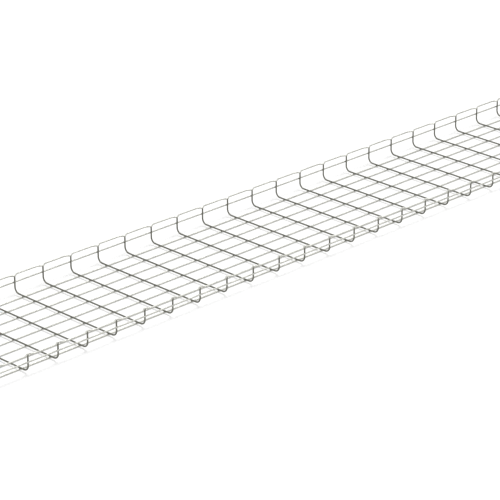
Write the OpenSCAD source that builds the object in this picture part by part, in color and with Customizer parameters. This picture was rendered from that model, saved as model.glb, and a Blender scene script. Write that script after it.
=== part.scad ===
// Welded wire mesh cable basket, one stock length, standing on a level floor with its open side up.
// X runs along the basket, Y across it, Z up. The origin is the middle of the basket, at the floor.
// Cross wires are bent to a U and welded on top of the straight longitudinal wires, so every
// straight wire lies outside the U. A weld sets the cross wire into the wire that it crosses.
// Along both top edges a scalloped wire meets the cut ends of the cross wires in T welds.

/* [Length] */
// Number of mesh bays along the basket
bays = 30; // [2:1:40]
// Distance between neighbouring cross wires
cross_pitch = 100; // [80:5:150]
// How far the longitudinal wires stand out past the last cross wire
end_overhang = 0.25; // [0.25:0.25:20]

/* [Section] */
// Clear width between the upright runs of a cross wire
clear_width = 400; // [320:10:600]
// Height of the edge wire's axis over the axis of the cross wire's floor run
edge_rise = 48; // [42:1:120]
// Height of the side wire's axis over the axis of the cross wire's floor run
side_rise = 28; // [24:1:32]
// Inside radius of the bend between floor and side
bend_radius = 14; // [8:1:18]

/* [Floor] */
// Distance between neighbouring floor wires
floor_pitch = 50; // [40:1:52]
// Number of floor wires between the two corner wires
floor_wires = 6; // [2:1:6]
// Distance from the axis of an upright run to the corner wire beside it
corner_inset = 32; // [26:1:36]

/* [Wires] */
// Diameter of the cross wires
cross_d = 4.5; // [3.5:0.1:6]
// Diameter of the scalloped edge wires
edge_d = 4.5; // [3.5:0.1:6]
// Diameter of the side wires
side_d = 4.5; // [3.5:0.1:6]
// Diameter of the corner wires
corner_d = 4.5; // [3.5:0.1:6]
// Diameter of the floor wires
floor_d = 4; // [3:0.1:6]
// How deep a crossing weld sets one wire into the other
weld_depth = 0.5; // [0.2:0.05:0.8]
// How deep a T weld sets a cross wire's end into the edge wire
tee_depth = 1.5; // [0.5:0.1:1.6]

/* [Scalloped edge] */
// How far the edge wire stands outwards between two welds
scallop_depth = 8; // [7:0.5:12]
// Slope of the edge wire on its way out and back, in degrees
scallop_slope = 40; // [25:1:40]
// Radius of the edge wire's axis where it dips to a weld
dip_radius = 8; // [6:1:9]
// Radius of the edge wire's axis where it levels out
crest_radius = 20; // [12:1:20]
// How much thinner the edge wire is drawn where it bends
bend_thinning = 0.04; // [0.02:0.01:0.1]

/* [Hidden] */
$fn = 48;
SIDES = ["left", "right"];
cross_count = bays + 1;
half_run = bays * cross_pitch / 2;
end_reach = cross_d / 2 + end_overhang;
half_length = half_run + end_reach;
wall_y = (clear_width + cross_d) / 2;
bend_axis = bend_radius + cross_d / 2;
cross_z = max(floor_d, corner_d) + cross_d / 2 - weld_depth;
bend_z = cross_z + bend_axis;
edge_z = cross_z + edge_rise;
tee_z = edge_z - edge_d / 2 + tee_depth;
corner_y = wall_y - corner_inset;

// The edge wire from a weld outwards: where its dip ends, its slope, and where its crest begins
bent_d = edge_d - bend_thinning;
dip_x = dip_radius * sin(scallop_slope);
dip_y = dip_radius * (1 - cos(scallop_slope));
crest_drop = crest_radius * (1 - cos(scallop_slope));
slope_run = (scallop_depth - dip_y - crest_drop) / sin(scallop_slope);
crest_x = dip_x + slope_run * cos(scallop_slope) + crest_radius * sin(scallop_slope);
lap = 0.05; // straight stretches reach this far into the thinner bends, so that they fuse

// Distance between the axes of a cross wire and of a wire of diameter d that is welded to it
function seat(d) = (cross_d + d) / 2 - weld_depth;
function two_digits(i) = str(i < 10 ? "0" : "", i);
function cross_name(i) = str("cross_wire_", two_digits(i));
function cross_x(i) = (i - 1) * cross_pitch - half_run;
function floor_name(i) = str("floor_wire_", i);
function floor_y(i) = (i - (floor_wires + 1) / 2) * floor_pitch;

// Everything is drawn on the left side, at positive Y, and mirrored for the right side
module on_side(side) {
    if (side == "left") children();
    else mirror([0, 1, 0]) children();
}

// A straight round wire along X between the places from and to
module straight_wire(d, from, to) {
    translate([from, 0, 0]) rotate([0, 90, 0]) cylinder(d = d, h = to - from);
}

// An arc of round wire in the XY plane around the origin, turning by angle from the angle start on
module wire_arc(d, radius, start, angle) {
    rotate([0, 0, start]) rotate_extrude(angle = angle) translate([radius, 0]) circle(d = d);
}

// Places of the straight wires, for stretches that pass the plane X = 0
module at_floor_wire(i) translate([0, floor_y(i), cross_z - seat(floor_d)]) children();
module at_corner_wire() translate([0, corner_y, cross_z - seat(corner_d)]) children();
module at_side_wire() translate([0, wall_y + seat(side_d), cross_z + side_rise]) children();

// Half of a U without its welds: floor run, bend and upright run on the left
module half_u() {
    translate([0, 0, cross_z]) rotate([-90, 0, 0]) cylinder(d = cross_d, h = wall_y - bend_axis);
    translate([0, wall_y - bend_axis, bend_z]) rotate([90, 0, 90]) wire_arc(cross_d, bend_axis, -90, 90);
    translate([0, wall_y, bend_z]) cylinder(d = cross_d, h = tee_z - bend_z);
}

// The dip of the edge wire at cross wire i, in the plane X = 0. Past the last cross wires it runs straight.
module edge_dip(i) {
    back = i == 1 ? 0 : scallop_slope;
    ahead = i == cross_count ? 0 : scallop_slope;
    translate([0, wall_y, edge_z]) {
        translate([0, dip_radius, 0]) wire_arc(bent_d, dip_radius, -90 - back, back + ahead);
        if (i == 1) straight_wire(edge_d, -end_reach, lap);
        if (i == cross_count) straight_wire(edge_d, -lap, end_reach);
    }
}

// Short stretches of all longitudinal wires, where cross wire i is welded to them in the plane X = 0
module weld_seats(i) {
    reach = 2 * cross_d;
    for (f = [1:floor_wires]) at_floor_wire(f) straight_wire(floor_d, -reach, reach);
    for (side = SIDES) on_side(side) {
        at_corner_wire() straight_wire(corner_d, -reach, reach);
        at_side_wire() straight_wire(side_d, -reach, reach);
        edge_dip(i);
    }
}

module cross_wire(i) {
    color("#6e6e68") translate([cross_x(i), 0, 0]) difference() {
        for (side = SIDES) on_side(side) half_u();
        weld_seats(i);
    }
}

module floor_wire(i) {
    color("#b9bab2") at_floor_wire(i) straight_wire(floor_d, -half_length, half_length);
}

module corner_wire(side) {
    color("#c6c7bf") on_side(side) at_corner_wire() straight_wire(corner_d, -half_length, half_length);
}

module side_wire(side) {
    color("#c6c7bf") on_side(side) at_side_wire() straight_wire(side_d, -half_length, half_length);
}

// The edge wire's way out from a dip at the origin, up to where its crest runs straight
module edge_way_out() {
    translate([dip_x, dip_y, 0]) rotate([0, 0, scallop_slope]) straight_wire(edge_d, -lap, slope_run + lap);
    translate([crest_x, scallop_depth - crest_radius, 0]) wire_arc(bent_d, crest_radius, 90, scallop_slope);
}

module edge_wire(side) {
    color("#c6c7bf") on_side(side) {
        for (i = [1:cross_count]) translate([cross_x(i), 0, 0]) edge_dip(i);
        for (i = [1:bays]) translate([cross_x(i), wall_y, edge_z]) {
            edge_way_out();
            translate([0, scallop_depth, 0]) straight_wire(edge_d, crest_x - lap, cross_pitch - crest_x + lap);
            translate([cross_pitch, 0, 0]) mirror([1, 0, 0]) edge_way_out();
        }
    }
}

for (i = [1:cross_count]) cross_wire(i);
for (i = [1:floor_wires]) floor_wire(i);
for (side = SIDES) {
    corner_wire(side);
    side_wire(side);
    edge_wire(side);
}
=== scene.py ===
# Welded wire mesh cable basket: wires swept along their paths over the imported frame, zinc finishes with
# painted shade on the cross wires, weld beads, floor, light and camera. Lengths are in metres, in the frame
# of the imported part.
import math

import bpy
import numpy as np
from bpy.props import FloatProperty, FloatVectorProperty, IntProperty, PointerProperty
from bpy.types import Operator, Panel, PropertyGroup
from mathutils import Matrix, Vector


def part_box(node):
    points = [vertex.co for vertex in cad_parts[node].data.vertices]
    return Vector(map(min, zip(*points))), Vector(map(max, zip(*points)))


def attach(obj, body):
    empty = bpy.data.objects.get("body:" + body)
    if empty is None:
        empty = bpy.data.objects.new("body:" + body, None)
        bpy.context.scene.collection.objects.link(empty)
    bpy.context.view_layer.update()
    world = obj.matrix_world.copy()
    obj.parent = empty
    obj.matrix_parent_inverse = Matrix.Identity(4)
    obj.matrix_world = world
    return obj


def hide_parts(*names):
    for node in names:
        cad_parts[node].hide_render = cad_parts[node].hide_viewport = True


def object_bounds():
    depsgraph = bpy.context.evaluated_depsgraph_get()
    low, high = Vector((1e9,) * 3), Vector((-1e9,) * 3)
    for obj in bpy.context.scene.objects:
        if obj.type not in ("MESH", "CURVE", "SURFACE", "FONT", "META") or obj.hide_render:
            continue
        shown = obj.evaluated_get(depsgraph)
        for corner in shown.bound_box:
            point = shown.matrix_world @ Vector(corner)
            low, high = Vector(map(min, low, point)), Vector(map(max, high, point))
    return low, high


bl_info = {
    "name": "Wire Mesh Cable Basket",
    "version": (1, 0, 0),
    "blender": (4, 5, 0),
    "location": "View3D > Sidebar > Cable Basket",
    "description": "Makes the wires, welds, finishes and studio of a welded wire cable basket",
    "category": "Add Mesh",
}

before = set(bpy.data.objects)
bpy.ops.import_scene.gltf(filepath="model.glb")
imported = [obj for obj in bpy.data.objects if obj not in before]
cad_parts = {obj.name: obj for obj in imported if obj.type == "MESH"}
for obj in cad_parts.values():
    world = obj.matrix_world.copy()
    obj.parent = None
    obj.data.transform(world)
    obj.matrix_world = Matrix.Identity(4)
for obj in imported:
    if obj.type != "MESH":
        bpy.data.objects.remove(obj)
CAD_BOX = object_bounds()
BODY = "root"
SIDES = ("left", "right")
CROSS_NODES = sorted(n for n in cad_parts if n.startswith("cross_wire_"))
FLOOR_NODES = sorted(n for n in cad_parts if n.startswith("floor_wire_"))
CORNER_NODES = [f"corner_wire_{side}" for side in SIDES]
SIDE_NODES = [f"side_wire_{side}" for side in SIDES]
EDGE_NODES = [f"edge_wire_{side}" for side in SIDES]
# The cross wires' slot carries the zinc darkened as painted shade, the longitudinal wires' slot the lighter,
# lit copy of it.
CROSS_SLOT = "cross_wire_zinc"
LONG_SLOT = "long_wire_zinc"
FLOOR_GAP = 0.0003  # the studio floor lies this far under the basket, so that the two don't flicker
VIEW_REACH = 200  # how far the camera sees
BEND_STEPS = 13  # rings around each bend of a cross wire
FLOOR_STEP, UPRIGHT_STEP = 0.02, 0.008  # longest steps along the runs of a cross wire
BEAD_ROWS, BEAD_COLS = 6, 10
BEAD_VARY = (0.9, 1.1)  # each bead is smaller or larger within these factors
TEE_BEAD = 1.12  # half width of a T weld's bead, as a share of the cross wire's radius
CROSS_PATTERN, STRAIGHT_PATTERN, EDGE_PATTERN = (10.0, 1.37), (60.0, 4.21), (120.0, 5.3)
BUMP_STRENGTH, BUMP_DISTANCE = 0.25, 0.0001


# ---------------------------------------------------------------- sizes and colours


class BasketWireSizes(PropertyGroup):
    """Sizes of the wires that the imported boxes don't give by themselves"""

    bend_radius: FloatProperty(
        name="Bend radius", description="Inside radius of the bend between floor and side",
        default=0.014, min=0.004, max=0.03, subtype="DISTANCE", unit="LENGTH")
    scallop_slope: FloatProperty(
        name="Scallop slope", description="Slope of the edge wire on its way out and back",
        default=math.radians(40), min=math.radians(20), max=math.radians(60), subtype="ANGLE")
    dip_radius: FloatProperty(
        name="Dip radius", description="Radius of the edge wire's axis where it dips to a weld",
        default=0.008, min=0.004, max=0.02, subtype="DISTANCE", unit="LENGTH")
    crest_radius: FloatProperty(
        name="Crest radius", description="Radius of the edge wire's axis where it levels out",
        default=0.020, min=0.008, max=0.04, subtype="DISTANCE", unit="LENGTH")
    tee_depth: FloatProperty(
        name="T weld depth", description="How deep a cut end is set into the edge wire",
        default=0.0015, min=0.0002, max=0.003, subtype="DISTANCE", unit="LENGTH")
    sides: IntProperty(
        name="Sides", description="Faces around each wire", default=16, min=8, max=32)


class BasketWeldSizes(PropertyGroup):
    """Sizes of the beads that resistance welding squeezes out between two wires"""

    bead_width: FloatProperty(
        name="Bead width", description="Half width of a bead across the joint",
        default=0.0023, min=0.0005, max=0.006, subtype="DISTANCE", unit="LENGTH")
    bead_height: FloatProperty(
        name="Bead height", description="Half height of a bead between the two wires",
        default=0.0011, min=0.0003, max=0.004, subtype="DISTANCE", unit="LENGTH")
    heat_reach: FloatProperty(
        name="Heat reach", description="How far a weld's dulled zone runs along the wires",
        default=0.006, min=0.001, max=0.02, subtype="DISTANCE", unit="LENGTH")


class BasketFinish(PropertyGroup):
    """Colours and gloss of the zinc plated wire, with the cross wires darker as painted shade and the
    longitudinal wires lighter as the lit copy of the same zinc
    """

    # Painted shade: the cross wires are the same zinc as the longitudinal wires, darkened to stand in for
    # the shade on their sides that face away from the key light.
    cross_shaded_colour: FloatVectorProperty(
        name="Cross wires", description="Colour of the plated cross wires",
        default=(0.165, 0.165, 0.138), min=0, max=1, subtype="COLOR")
    # Painted light: the lighter, lit copy of the same zinc as the cross wires.
    long_lit_colour: FloatVectorProperty(
        name="Longitudinal wires", description="Colour of the plated longitudinal wires",
        default=(0.52, 0.52, 0.48), min=0, max=1, subtype="COLOR")
    weld_colour: FloatVectorProperty(
        name="Welds", description="Colour of the dulled zone beside a weld",
        default=(0.10, 0.10, 0.085), min=0, max=1, subtype="COLOR")
    steel_colour: FloatVectorProperty(
        name="Cut steel", description="Colour of the bare steel at a cut end",
        default=(0.30, 0.29, 0.27), min=0, max=1, subtype="COLOR")
    roughness: FloatProperty(
        name="Roughness", description="Mean roughness of the plated wire",
        default=0.40, min=0.05, max=1, subtype="FACTOR")
    metallic: FloatProperty(
        name="Metallic", description="How much the plated wire shines as metal",
        default=0.6, min=0, max=1, subtype="FACTOR")


class BasketStudio(PropertyGroup):
    """Floor, light and camera"""

    floor_size: FloatProperty(
        name="Floor size", description="Half width of the floor",
        default=40.0, min=5, max=200, subtype="DISTANCE", unit="LENGTH")
    floor_colour: FloatVectorProperty(
        name="Floor colour", description="Colour of the plain floor",
        default=(0.80, 0.80, 0.80), min=0, max=1, subtype="COLOR")
    floor_glow: FloatProperty(
        name="Floor glow", description="Light of the floor's own that only the view and reflections see",
        default=0.30, min=0, max=1)
    key_towards: FloatVectorProperty(
        name="Key direction", description="Direction from the basket to the key light",
        default=(0.45, 0.10, 0.90), subtype="XYZ")
    key_spread: FloatProperty(
        name="Key spread", description="How wide the key light is seen, which softens shadows",
        default=math.radians(25), min=0, max=math.pi, subtype="ANGLE")
    key_power: FloatProperty(
        name="Key light", description="Strength of the soft key light from above and beyond the far end",
        default=1.6, min=0, max=10)
    sky_power: FloatProperty(
        name="Sky light", description="Strength of the even light from all around",
        default=0.62, min=0, max=5)
    camera_place: FloatVectorProperty(
        name="Camera place", description="Where the camera stands",
        default=(-4.9751, -4.8647, 2.8519), subtype="TRANSLATION", unit="LENGTH")
    camera_azimuth: FloatProperty(
        name="Camera azimuth", description="Turn of the view, from across the basket towards its length",
        default=math.radians(44.999), subtype="ANGLE")
    camera_tilt: FloatProperty(
        name="Camera tilt", description="How far the camera looks down",
        default=math.radians(22.613), subtype="ANGLE")
    camera_roll: FloatProperty(
        name="Camera roll", description="Roll of the camera about its view",
        default=math.radians(0.054), subtype="ANGLE")
    camera_lens: FloatProperty(
        name="Lens", description="Focal length on a 36 mm wide sensor, in millimetres",
        default=191.08, min=20, max=400)


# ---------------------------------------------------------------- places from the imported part


def box_of(node):
    """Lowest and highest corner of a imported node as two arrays."""
    low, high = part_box(node)
    return np.array(low), np.array(high)


def wire_line(node):
    """Centre line of a straight wire along X: start, end, y, z and radius, from its box."""
    low, high = box_of(node)
    return low[0], high[0], (low[1] + high[1]) / 2, (low[2] + high[2]) / 2, (high[2] - low[2]) / 2


class Layout:
    """Where the wires lie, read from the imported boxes."""

    def __init__(self, sizes):
        low, high = box_of(CROSS_NODES[0])
        self.cross_r = (high[0] - low[0]) / 2
        self.cross_x = np.array([np.mean([b[0] for b in box_of(n)]) for n in CROSS_NODES])
        self.wall_y = high[1] - self.cross_r
        self.cross_z = low[2] + self.cross_r
        self.bend = sizes.bend_radius + self.cross_r
        edge_low, edge_high = box_of(EDGE_NODES[0])
        self.edge_r = (edge_high[2] - edge_low[2]) / 2
        self.edge_z = edge_low[2] + self.edge_r
        self.crest_y = edge_high[1] - self.edge_r
        self.start_x, self.end_x = edge_low[0], edge_high[0]
        self.floor = [wire_line(n) for n in FLOOR_NODES]
        self.corner = wire_line(CORNER_NODES[0])
        self.side = wire_line(SIDE_NODES[0])
        self.tee_z = self.edge_z - self.edge_r + sizes.tee_depth
        self.pitch = self.cross_x[1] - self.cross_x[0]


# ---------------------------------------------------------------- swept wires


def sweep(path, binormal, radius, sides):
    """Ring of points around each path point: centre + radius * (cos t * normal + sin t * binormal),
    where normal is the binormal crossed with the path's direction. Returns points and angles."""
    ahead = np.gradient(path, axis=0)
    ahead /= np.linalg.norm(ahead, axis=1)[:, None]
    normal = np.cross(binormal, ahead)
    turn = np.linspace(0, 2 * math.pi, sides, endpoint=False)
    ring = np.cos(turn)[None, :, None] * normal[:, None, :] + np.sin(turn)[None, :, None] * binormal
    points = path[:, None, :] + np.asarray(radius).reshape(-1, 1, 1) * ring
    return points, turn


def tube_faces(rings, sides, start=0):
    """Quads between neighbouring rings, plus a fan of triangles at each end around a centre point."""
    row = np.arange(rings - 1)[:, None] * sides
    col = np.arange(sides)[None, :]
    nxt = (col + 1) % sides
    quads = np.stack([row + col, row + nxt, row + sides + nxt, row + sides + col], -1).reshape(-1, 4)
    first, last = rings * sides, rings * sides + 1
    col, nxt = col[0], nxt[0]
    cap_a = np.stack([nxt, col, np.full(sides, first)], -1)
    top = (rings - 1) * sides
    cap_b = np.stack([top + col, top + nxt, np.full(sides, last)], -1)
    return quads + start, np.concatenate([cap_a, cap_b]) + start


def lengths_along(path):
    """Distance of each path point from the start, summed over the steps."""
    step = np.linalg.norm(np.diff(path, axis=0), axis=1)
    return np.concatenate([[0.0], np.cumsum(step)])


def wire_mesh(name, path, binormal, radius, sides, heat, ends, seed):
    """A closed round wire along path. The attribute wire_space holds (length along, r cos t, r sin t) so
    that a pattern follows the wire, heat holds how much a weld has dulled it, and bare marks cut ends."""
    points, turn = sweep(path, binormal, radius, sides)
    rings = len(path)
    along = lengths_along(path) + seed
    r = np.broadcast_to(np.asarray(radius, float).reshape(-1, 1), (rings, sides))
    length = np.broadcast_to(along[:, None], (rings, sides))
    space = np.stack([length, r * np.cos(turn), r * np.sin(turn)], -1)
    verts = np.concatenate([points.reshape(-1, 3), path[[0, -1]]])
    space = np.concatenate([space.reshape(-1, 3), [[along[0], 0, 0], [along[-1], 0, 0]]])
    hot = np.concatenate([np.repeat(heat, sides), heat[[0, -1]]])
    bare = np.zeros(len(verts))
    bare[-2:] = ends
    if ends[0]:
        bare[:sides] = 1
    if ends[1]:
        bare[(rings - 1) * sides:rings * sides] = 1
    quads, tris = tube_faces(rings, sides)
    return make_mesh(name, verts, quads, tris, {"wire_space": space, "heat": hot, "bare": bare})


def make_mesh(name, verts, quads, tris, attributes):
    """Puts whole arrays of points, four-sided and three-sided faces and point attributes into a mesh."""
    mesh = bpy.data.meshes.new(name)
    loops = np.concatenate([quads.ravel(), tris.ravel()]).astype(np.int32)
    sizes = np.concatenate([np.full(len(quads), 4), np.full(len(tris), 3)]).astype(np.int32)
    starts = np.concatenate([[0], np.cumsum(sizes)[:-1]]).astype(np.int32)
    mesh.vertices.add(len(verts))
    mesh.vertices.foreach_set("co", np.asarray(verts, np.float32).ravel())
    mesh.loops.add(len(loops))
    mesh.loops.foreach_set("vertex_index", loops)
    mesh.polygons.add(len(sizes))
    mesh.polygons.foreach_set("loop_start", starts)
    mesh.polygons.foreach_set("loop_total", sizes)
    mesh.update(calc_edges=True)
    smooth = np.concatenate([np.ones(len(quads), bool), np.zeros(len(tris), bool)])
    mesh.polygons.foreach_set("use_smooth", smooth)
    for key, values in attributes.items():
        kind, field = ("FLOAT_VECTOR", "vector") if np.ndim(values) == 2 else ("FLOAT", "value")
        layer = mesh.attributes.new(key, kind, "POINT")
        layer.data.foreach_set(field, np.asarray(values, np.float32).ravel())
    mesh.validate()
    return mesh


def add_piece(mesh, material, slot, *nodes):
    """Links a finished mesh as an object at the origin that rides on the body and stands for nodes."""
    piece = bpy.data.objects.new(mesh.name, mesh)
    bpy.context.scene.collection.objects.link(piece)
    mesh.materials.append(material)
    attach(piece, BODY)
    if nodes:
        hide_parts(*nodes)
    return piece


def spread(places, around, low, high, coarse):
    """Sorted stations from low to high: every coarse step, and the offsets around at each place."""
    count = max(2, int(round((high - low) / coarse)) + 1)
    fine = (np.asarray(places)[:, None] + np.asarray(around)[None, :]).ravel()
    stations = np.concatenate([np.linspace(low, high, count), fine])
    stations = np.unique(np.round(stations[(stations >= low) & (stations <= high)], 6))
    keep = np.concatenate([[True], np.diff(stations) > 1e-4])
    return stations[keep]


def heat_at(along, welds, reach):
    """How much the nearest weld has dulled the wire: exp(-(distance / reach) squared)."""
    distance = np.abs(np.asarray(along)[:, None] - np.asarray(welds)[None, :]).min(1)
    return np.exp(-(distance / reach) ** 2)


WELD_STEPS = np.array([-0.012, -0.008, -0.005, -0.0025, 0, 0.0025, 0.005, 0.008, 0.012])


# ---------------------------------------------------------------- finishes


def finish_group():
    """Shader group of a zinc plated wire. Inputs: base, weld and steel colour, heat and bare masks, the
    vector that follows the wire. Outputs: colour, roughness and height."""
    name = "zinc_wire"
    if name in bpy.data.node_groups:
        return bpy.data.node_groups[name]
    group = bpy.data.node_groups.new(name, "ShaderNodeTree")
    face = group.interface
    for label, kind in (("Along", "NodeSocketVector"), ("Zinc", "NodeSocketColor"),
                        ("Weld", "NodeSocketColor"), ("Steel", "NodeSocketColor"),
                        ("Heat", "NodeSocketFloat"), ("Bare", "NodeSocketFloat"),
                        ("Roughness", "NodeSocketFloat")):
        face.new_socket(label, in_out="INPUT", socket_type=kind)
    for label, kind in (("Color", "NodeSocketColor"), ("Roughness", "NodeSocketFloat"),
                        ("Height", "NodeSocketFloat")):
        face.new_socket(label, in_out="OUTPUT", socket_type=kind)
    add, link = group.nodes.new, group.links.new
    enter, leave = add("NodeGroupInput"), add("NodeGroupOutput")

    def noise(scale, stretch, detail):
        """Noise on the wire's own space, stretched along the wire."""
        place = add("ShaderNodeMapping")
        place.inputs["Scale"].default_value = stretch
        link(enter.outputs["Along"], place.inputs["Vector"])
        node = add("ShaderNodeTexNoise")
        node.inputs["Scale"].default_value = scale
        node.inputs["Detail"].default_value = detail
        link(place.outputs["Vector"], node.inputs["Vector"])
        return node.outputs["Fac"]

    def calc(op, a, b=None, c=None):
        node = add("ShaderNodeMath")
        node.operation = op
        for i, value in enumerate((a, b, c)):
            if value is None:
                continue
            if isinstance(value, (int, float)):
                node.inputs[i].default_value = value
            else:
                link(value, node.inputs[i])
        return node.outputs[0]

    def mix(kind, factor, a, b):
        node = add("ShaderNodeMix")
        node.data_type = "RGBA"
        node.blend_type = kind
        node.inputs[0].default_value = 1.0
        if not isinstance(factor, (int, float)):
            link(factor, node.inputs[0])
        else:
            node.inputs[0].default_value = factor
        for i, value in ((6, a), (7, b)):
            if isinstance(value, tuple):
                node.inputs[i].default_value = value
            else:
                link(value, node.inputs[i])
        return node.outputs[2]

    streaks = noise(1.0, (18.0, 1600.0, 1600.0), 4.0)
    clouds = noise(1.0, (55.0, 150.0, 150.0), 3.0)
    grit = noise(1.0, (1500.0, 1500.0, 1500.0), 3.0)
    tone = calc("ADD", calc("MULTIPLY", streaks, 0.5), calc("MULTIPLY", clouds, 0.5))
    tone = calc("MULTIPLY_ADD", calc("SUBTRACT", tone, 0.5), 0.9, 1.0)
    shade = add("ShaderNodeCombineColor")
    for i in range(3):
        link(tone, shade.inputs[i])
    zinc = mix("MULTIPLY", 1.0, enter.outputs["Zinc"], shade.outputs["Color"])
    edge = calc("MULTIPLY_ADD", calc("SUBTRACT", clouds, 0.5), 1.1, enter.outputs["Heat"])
    burnt = calc("MULTIPLY", calc("SMOOTH_MIN", calc("MAXIMUM", edge, 0.0), 1.0, 0.1), enter.outputs["Heat"])
    coloured = mix("MIX", calc("MULTIPLY", burnt, 0.75), zinc, enter.outputs["Weld"])
    bared = mix("MIX", enter.outputs["Bare"], coloured, enter.outputs["Steel"])
    link(bared, leave.inputs["Color"])
    rough = calc("MULTIPLY_ADD", calc("SUBTRACT", streaks, 0.5), 0.35, enter.outputs["Roughness"])
    rough = calc("MULTIPLY_ADD", burnt, 0.2, rough)
    link(calc("MINIMUM", calc("MAXIMUM", rough, 0.12), 0.9), leave.inputs["Roughness"])
    link(calc("MULTIPLY_ADD", grit, 0.5, streaks), leave.inputs["Height"])
    return group


def wire_material(name, colour, finish):
    """Zinc plated wire: the group's colour, roughness and height on a plain Principled shader."""
    material = bpy.data.materials.new(name)
    material.use_nodes = True
    tree = material.node_tree
    tree.nodes.clear()
    add, link = tree.nodes.new, tree.links.new
    out, shader, group, bump = (add("ShaderNodeOutputMaterial"), add("ShaderNodeBsdfPrincipled"),
                                add("ShaderNodeGroup"), add("ShaderNodeBump"))
    group.node_tree = finish_group()
    for label, key in (("Along", "wire_space"), ("Heat", "heat"), ("Bare", "bare")):
        attribute = add("ShaderNodeAttribute")
        attribute.attribute_name = key
        link(attribute.outputs["Vector" if label == "Along" else "Fac"], group.inputs[label])
    group.inputs["Zinc"].default_value = (*colour, 1)
    group.inputs["Weld"].default_value = (*finish.weld_colour, 1)
    group.inputs["Steel"].default_value = (*finish.steel_colour, 1)
    group.inputs["Roughness"].default_value = finish.roughness
    link(group.outputs["Color"], shader.inputs["Base Color"])
    link(group.outputs["Roughness"], shader.inputs["Roughness"])
    shader.inputs["Metallic"].default_value = finish.metallic
    bump.inputs["Strength"].default_value = BUMP_STRENGTH
    bump.inputs["Distance"].default_value = BUMP_DISTANCE
    link(group.outputs["Height"], bump.inputs["Height"])
    link(bump.outputs["Normal"], shader.inputs["Normal"])
    link(shader.outputs["BSDF"], out.inputs["Surface"])
    return material


def finish_material(scene, slot):
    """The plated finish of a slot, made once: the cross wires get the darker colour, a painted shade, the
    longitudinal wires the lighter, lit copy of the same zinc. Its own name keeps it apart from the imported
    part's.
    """
    name = f"plated_{slot}"
    if name in bpy.data.materials:
        return bpy.data.materials[name]
    finish = scene.basket_finish
    # The cross wires take the darker colour as painted shade, the longitudinal wires the lighter, lit one.
    colour = finish.cross_shaded_colour if slot == CROSS_SLOT else finish.long_lit_colour
    return wire_material(name, colour, finish)


# ---------------------------------------------------------------- operators


class BASKET_OT_cross_wires(Operator):
    """Sweep the cross wires along their U: upright, bend, floor run, bend, upright"""

    bl_idname = "basket.cross_wires"
    bl_label = "Cross Wires"

    def execute(self, context):
        scene = context.scene
        lay, sizes = Layout(scene.basket_sizes), scene.basket_sizes
        reach = scene.basket_welds.heat_reach
        material = finish_material(scene, CROSS_SLOT)
        centre_y, centre_z = lay.wall_y - lay.bend, lay.cross_z + lay.bend
        welds_y = np.array([w[2] for w in lay.floor])
        corner = np.array([-lay.corner[2], lay.corner[2]])
        across = spread(np.concatenate([welds_y, corner]), WELD_STEPS, -centre_y, centre_y, FLOOR_STEP)
        floor_run = np.stack([across, np.full_like(across, lay.cross_z)], -1)
        turn = np.linspace(0, math.pi / 2, BEND_STEPS)[1:]
        bend = np.stack([centre_y + lay.bend * np.sin(turn), centre_z - lay.bend * np.cos(turn)], -1)
        rise = spread([lay.side[3], lay.tee_z], WELD_STEPS, centre_z, lay.tee_z, UPRIGHT_STEP)[1:]
        upright = np.stack([np.full_like(rise, lay.wall_y), rise], -1)
        left = np.concatenate([bend, upright])
        right = left[::-1] * [-1, 1]
        flat = np.concatenate([right, floor_run, left])
        along = lengths_along(np.column_stack([np.zeros(len(flat)), flat]))
        weld_points = np.array([[y, lay.cross_z] for y in (*welds_y, *corner)]
                               + [[s * lay.wall_y, z] for s in (-1, 1) for z in (lay.side[3], lay.edge_z)])
        distance = np.linalg.norm(flat[:, None, :] - weld_points[None, :, :], axis=2).min(1)
        heat = np.exp(-(distance / reach) ** 2)
        for index, node in enumerate(CROSS_NODES):
            path = np.column_stack([np.full(len(flat), lay.cross_x[index]), flat])
            mesh = wire_mesh(f"{node}_wire", path, np.array([1.0, 0, 0]), lay.cross_r, sizes.sides,
                             heat, (1, 1), CROSS_PATTERN[0] + index * CROSS_PATTERN[1])
            add_piece(mesh, material, CROSS_SLOT, node)
        return {"FINISHED"}


class BASKET_OT_straight_wires(Operator):
    """Sweep the floor, corner and side wires, which run straight from end to end"""

    bl_idname = "basket.straight_wires"
    bl_label = "Straight Wires"

    def execute(self, context):
        scene = context.scene
        lay, sizes = Layout(scene.basket_sizes), scene.basket_sizes
        reach = scene.basket_welds.heat_reach
        material = finish_material(scene, LONG_SLOT)
        for index, node in enumerate(FLOOR_NODES + CORNER_NODES + SIDE_NODES):
            start, end, y, z, radius = wire_line(node)
            along = spread(lay.cross_x, WELD_STEPS, start, end, lay.pitch / 4)
            path = np.column_stack([along, np.full_like(along, y), np.full_like(along, z)])
            mesh = wire_mesh(f"{node}_wire", path, np.array([0, 0, 1.0]), radius, sizes.sides,
                             heat_at(along, lay.cross_x, reach), (1, 1),
                             STRAIGHT_PATTERN[0] + index * STRAIGHT_PATTERN[1])
            add_piece(mesh, material, LONG_SLOT, node)
        return {"FINISHED"}


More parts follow.
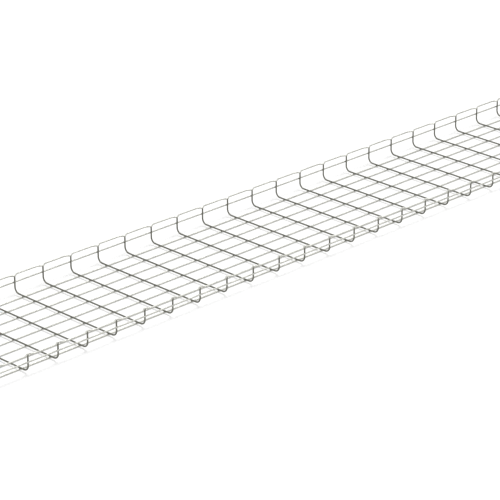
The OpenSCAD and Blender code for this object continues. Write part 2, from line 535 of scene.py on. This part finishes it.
def scallop_offset(x, lay, sizes):
    """How far the edge wire's axis stands outwards at x: a dip arc at each weld, a slope, a crest arc and
    a straight crest. Over the last cross wires' outer sides it runs straight."""
    depth = lay.crest_y - lay.wall_y
    slope, dip, crest = sizes.scallop_slope, sizes.dip_radius, sizes.crest_radius
    dip_x, dip_y = dip * math.sin(slope), dip * (1 - math.cos(slope))
    drop = crest * (1 - math.cos(slope))
    rise = depth - dip_y - drop
    slope_x = rise / math.tan(slope)
    crest_x = dip_x + slope_x + crest * math.sin(slope)
    off = np.abs(x[:, None] - lay.cross_x[None, :]).min(1)
    off = np.where((x < lay.cross_x[0]) | (x > lay.cross_x[-1]), 0, off)
    on_dip = dip - np.sqrt(np.maximum(dip ** 2 - np.minimum(off, dip_x) ** 2, 0))
    on_slope = dip_y + (off - dip_x) * math.tan(slope)
    back = np.clip(crest_x - off, 0, crest * math.sin(slope))
    on_crest = depth - (crest - np.sqrt(crest ** 2 - back ** 2))
    out = np.where(off < dip_x, on_dip, np.where(off < dip_x + slope_x, on_slope, on_crest))
    return out, crest_x, (dip_x, dip_x + slope_x)


class BASKET_OT_edge_wires(Operator):
    """Sweep the scalloped wires along the two top edges"""

    bl_idname = "basket.edge_wires"
    bl_label = "Edge Wires"

    def execute(self, context):
        scene = context.scene
        lay, sizes = Layout(scene.basket_sizes), scene.basket_sizes
        reach = scene.basket_welds.heat_reach
        material = finish_material(scene, LONG_SLOT)
        _, crest_x, (dip_end, slope_end) = scallop_offset(np.zeros(1), lay, sizes)
        steps = np.concatenate([np.linspace(0, dip_end, 6), [slope_end],
                                np.linspace(slope_end, crest_x, 8)[1:], [crest_x + 0.008]])
        around = np.concatenate([-steps[::-1], steps[1:]])
        along = spread(lay.cross_x, around, lay.start_x, lay.end_x, lay.pitch)
        offset, _, _ = scallop_offset(along, lay, sizes)
        heat = heat_at(along, lay.cross_x, reach)
        for index, (node, sign) in enumerate(zip(EDGE_NODES, (1, -1))):
            path = np.column_stack([along, sign * (lay.wall_y + offset), np.full_like(along, lay.edge_z)])
            mesh = wire_mesh(f"{node}_wire", path, np.array([0, 0, 1.0]), lay.edge_r, sizes.sides,
                             heat, (1, 1), EDGE_PATTERN[0] + index * EDGE_PATTERN[1])
            add_piece(mesh, material, LONG_SLOT, node)
        return {"FINISHED"}


def bead_template(rows, cols):
    """Half-widths of a flattened ball on a grid: (sin a cos t, sin a sin t, cos a), with closed poles."""
    tilt = np.linspace(0, math.pi, rows + 1)[1:-1]
    turn = np.linspace(0, 2 * math.pi, cols, endpoint=False)
    ring = np.stack([np.sin(tilt)[:, None] * np.cos(turn), np.sin(tilt)[:, None] * np.sin(turn),
                     np.broadcast_to(np.cos(tilt)[:, None], (len(tilt), cols))], -1).reshape(-1, 3)
    points = np.concatenate([ring, [[0, 0, 1.0], [0, 0, -1.0]]])
    row = np.arange(len(tilt) - 1)[:, None] * cols
    col = np.arange(cols)[None, :]
    nxt = (col + 1) % cols
    quads = np.stack([row + col, row + cols + col, row + cols + nxt, row + nxt], -1).reshape(-1, 4)
    top, low, base = len(ring), len(ring) + 1, (len(tilt) - 1) * cols
    col, nxt = col[0], nxt[0]
    tris = np.concatenate([np.stack([col, nxt, np.full(cols, top)], -1),
                           np.stack([base + nxt, base + col, np.full(cols, low)], -1)])
    return points, quads, tris


def beads(name, places, scales, seed):
    """Copies of the flattened ball: point = place + scale * template, each a little larger or smaller."""
    points, quads, tris = bead_template(BEAD_ROWS, BEAD_COLS)
    rng = np.random.default_rng(seed)
    vary = rng.uniform(*BEAD_VARY, (len(places), 1, 3))
    verts = np.asarray(places)[:, None, :] + points[None] * np.asarray(scales)[:, None, :] * vary
    shift = np.arange(len(places))[:, None, None] * len(points)
    flat = verts.reshape(-1, 3)
    ones = np.ones(len(flat))
    return make_mesh(name, flat, (quads[None] + shift).reshape(-1, 4), (tris[None] + shift).reshape(-1, 3),
                     {"wire_space": flat, "heat": ones, "bare": ones * 0})


class BASKET_OT_welds(Operator):
    """Put a squeezed bead into each crossing and under each T joint"""

    bl_idname = "basket.welds"
    bl_label = "Weld Beads"

    def execute(self, context):
        scene = context.scene
        lay, welds = Layout(scene.basket_sizes), scene.basket_welds
        wide, thick = welds.bead_width, welds.bead_height
        lines = [(w[2], w[3], w[4]) for w in lay.floor]
        lines += [(s * lay.corner[2], lay.corner[3], lay.corner[4]) for s in (-1, 1)]
        floor_places, side_places = [], []
        for y, z, r in lines:
            seam = (z + r + lay.cross_z - lay.cross_r) / 2
            floor_places += [[x, y, seam] for x in lay.cross_x]
        seam_y = (lay.side[2] - lay.side[4] + lay.wall_y + lay.cross_r) / 2
        for s in (-1, 1):
            side_places += [[x, s * seam_y, lay.side[3]] for x in lay.cross_x]
        tee_places = [[x, s * lay.wall_y, lay.edge_z - lay.edge_r] for s in (-1, 1) for x in lay.cross_x]
        tee_wide = lay.cross_r * TEE_BEAD
        groups = (("floor_weld_beads", floor_places, (wide, wide, thick), 11),
                  ("side_weld_beads", side_places, (wide, thick, wide), 12),
                  ("tee_weld_beads", tee_places, (tee_wide, tee_wide, thick), 13))
        for name, places, scale, seed in groups:
            mesh = beads(name, places, np.tile(scale, (len(places), 1)), seed)
            # The beads take the cross wires' zinc, darkened as painted shade.
            add_piece(mesh, finish_material(scene, CROSS_SLOT), CROSS_SLOT)
        return {"FINISHED"}


class BASKET_OT_studio(Operator):
    """Lay the plain floor and set the light and the camera"""

    bl_idname = "basket.studio"
    bl_label = "Studio"

    def execute(self, context):
        scene = context.scene
        studio = scene.basket_studio
        half = studio.floor_size
        corners = np.array([[-half, -half, 0], [half, -half, 0], [half, half, 0], [-half, half, 0]])
        corners[:, 2] = CAD_BOX[0][2] - FLOOR_GAP
        mesh = make_mesh("studio_floor", corners, np.array([[0, 1, 2, 3]]), np.zeros((0, 3), int), {})
        floor = bpy.data.objects.new("studio_floor", mesh)
        scene.collection.objects.link(floor)
        mesh.materials.append(self.floor_material(studio))
        self.world(scene, studio)
        sun = bpy.data.lights.new("key_light", "SUN")
        sun.energy = studio.key_power
        sun.angle = studio.key_spread
        key = bpy.data.objects.new("key_light", sun)
        scene.collection.objects.link(key)
        key.rotation_mode = "QUATERNION"
        key.rotation_quaternion = Vector(studio.key_towards).to_track_quat("Z", "Y")
        self.camera(scene, studio)
        return {"FINISHED"}

    @staticmethod
    def floor_material(studio):
        """Plain floor: lit as any surface, with a little light of its own for the camera and reflections,
        so that it is white and still takes the basket's shadow."""
        material = bpy.data.materials.new("studio_floor_white")
        material.use_nodes = True
        tree = material.node_tree
        tree.nodes.clear()
        add, link = tree.nodes.new, tree.links.new
        out, diffuse, glow, both, path, top = (
            add("ShaderNodeOutputMaterial"), add("ShaderNodeBsdfDiffuse"), add("ShaderNodeEmission"),
            add("ShaderNodeAddShader"), add("ShaderNodeLightPath"), add("ShaderNodeMath"))
        diffuse.inputs["Color"].default_value = (*studio.floor_colour, 1)
        top.operation = "MAXIMUM"
        link(path.outputs["Is Camera Ray"], top.inputs[0])
        link(path.outputs["Is Glossy Ray"], top.inputs[1])
        scaled = add("ShaderNodeMath")
        scaled.operation = "MULTIPLY"
        scaled.inputs[1].default_value = studio.floor_glow
        link(top.outputs[0], scaled.inputs[0])
        link(scaled.outputs[0], glow.inputs["Strength"])
        link(diffuse.outputs[0], both.inputs[0])
        link(glow.outputs[0], both.inputs[1])
        link(both.outputs[0], out.inputs["Surface"])
        return material

    @staticmethod
    def world(scene, studio):
        """Even light from all around, and plain white where a view or reflection goes past the floor."""
        world = bpy.data.worlds.new("studio_world")
        scene.world = world
        world.use_nodes = True
        tree = world.node_tree
        tree.nodes.clear()
        add, link = tree.nodes.new, tree.links.new
        out, back, path = (add("ShaderNodeOutputWorld"), add("ShaderNodeBackground"),
                           add("ShaderNodeLightPath"))
        most, strength, seen = (add("ShaderNodeMath") for _ in range(3))
        seen.operation = "MAXIMUM"
        most.operation = "MAXIMUM"
        link(path.outputs["Is Camera Ray"], most.inputs[0])
        link(path.outputs["Is Glossy Ray"], most.inputs[1])
        link(most.outputs[0], seen.inputs[0])
        link(path.outputs["Is Transmission Ray"], seen.inputs[1])
        strength.operation = "MULTIPLY_ADD"
        link(seen.outputs[0], strength.inputs[0])
        strength.inputs[1].default_value = 1 - studio.sky_power
        strength.inputs[2].default_value = studio.sky_power
        back.inputs["Color"].default_value = (1, 1, 1, 1)
        link(strength.outputs[0], back.inputs["Strength"])
        link(back.outputs[0], out.inputs["Surface"])

    @staticmethod
    def camera(scene, studio):
        """Camera turned by azimuth a and tilt e: it looks along (cos e sin a, cos e cos a, -sin e)."""
        a, e, roll = studio.camera_azimuth, studio.camera_tilt, studio.camera_roll
        ahead = Vector((math.cos(e) * math.sin(a), math.cos(e) * math.cos(a), -math.sin(e)))
        right = Vector((math.cos(a), -math.sin(a), 0))
        up = right.cross(ahead)
        turned_right = math.cos(roll) * right + math.sin(roll) * up
        turned_up = -math.sin(roll) * right + math.cos(roll) * up
        data = bpy.data.cameras.new("studio_camera")
        data.sensor_width = 36
        data.lens = studio.camera_lens
        data.clip_end = VIEW_REACH
        camera = bpy.data.objects.new("studio_camera", data)
        scene.collection.objects.link(camera)
        turn = Matrix((turned_right, turned_up, -ahead)).transposed().to_4x4()
        camera.matrix_world = Matrix.Translation(Vector(studio.camera_place)) @ turn
        scene.camera = camera
        scene.view_settings.view_transform = "Standard"


class BASKET_PT_panel(Panel):
    """Lists the sizes, finishes and steps of the cable basket"""

    bl_label = "Cable Basket"
    bl_space_type = "VIEW_3D"
    bl_region_type = "UI"
    bl_category = "Cable Basket"

    def draw(self, context):
        for group in (context.scene.basket_sizes, context.scene.basket_welds,
                      context.scene.basket_finish, context.scene.basket_studio):
            box = self.layout.box()
            for key in group.bl_rna.properties.keys():
                if key not in ("rna_type", "name"):
                    box.prop(group, key)
        for step in STEPS:
            self.layout.operator(step.bl_idname)


GROUPS = {"basket_sizes": BasketWireSizes, "basket_welds": BasketWeldSizes,
          "basket_finish": BasketFinish, "basket_studio": BasketStudio}
STEPS = (BASKET_OT_studio, BASKET_OT_cross_wires, BASKET_OT_straight_wires, BASKET_OT_edge_wires,
         BASKET_OT_welds)


def register():
    for cls in (*GROUPS.values(), *STEPS, BASKET_PT_panel):
        bpy.utils.register_class(cls)
    for name, cls in GROUPS.items():
        setattr(bpy.types.Scene, name, PointerProperty(type=cls))


def unregister():
    for name in GROUPS:
        delattr(bpy.types.Scene, name)
    for cls in (BASKET_PT_panel, *STEPS, *GROUPS.values()):
        bpy.utils.unregister_class(cls)


def main():
    register()
    for step in ("studio", "cross_wires", "straight_wires", "edge_wires", "welds"):
        getattr(bpy.ops.basket, step)()


if __name__ == "__main__":
    main()
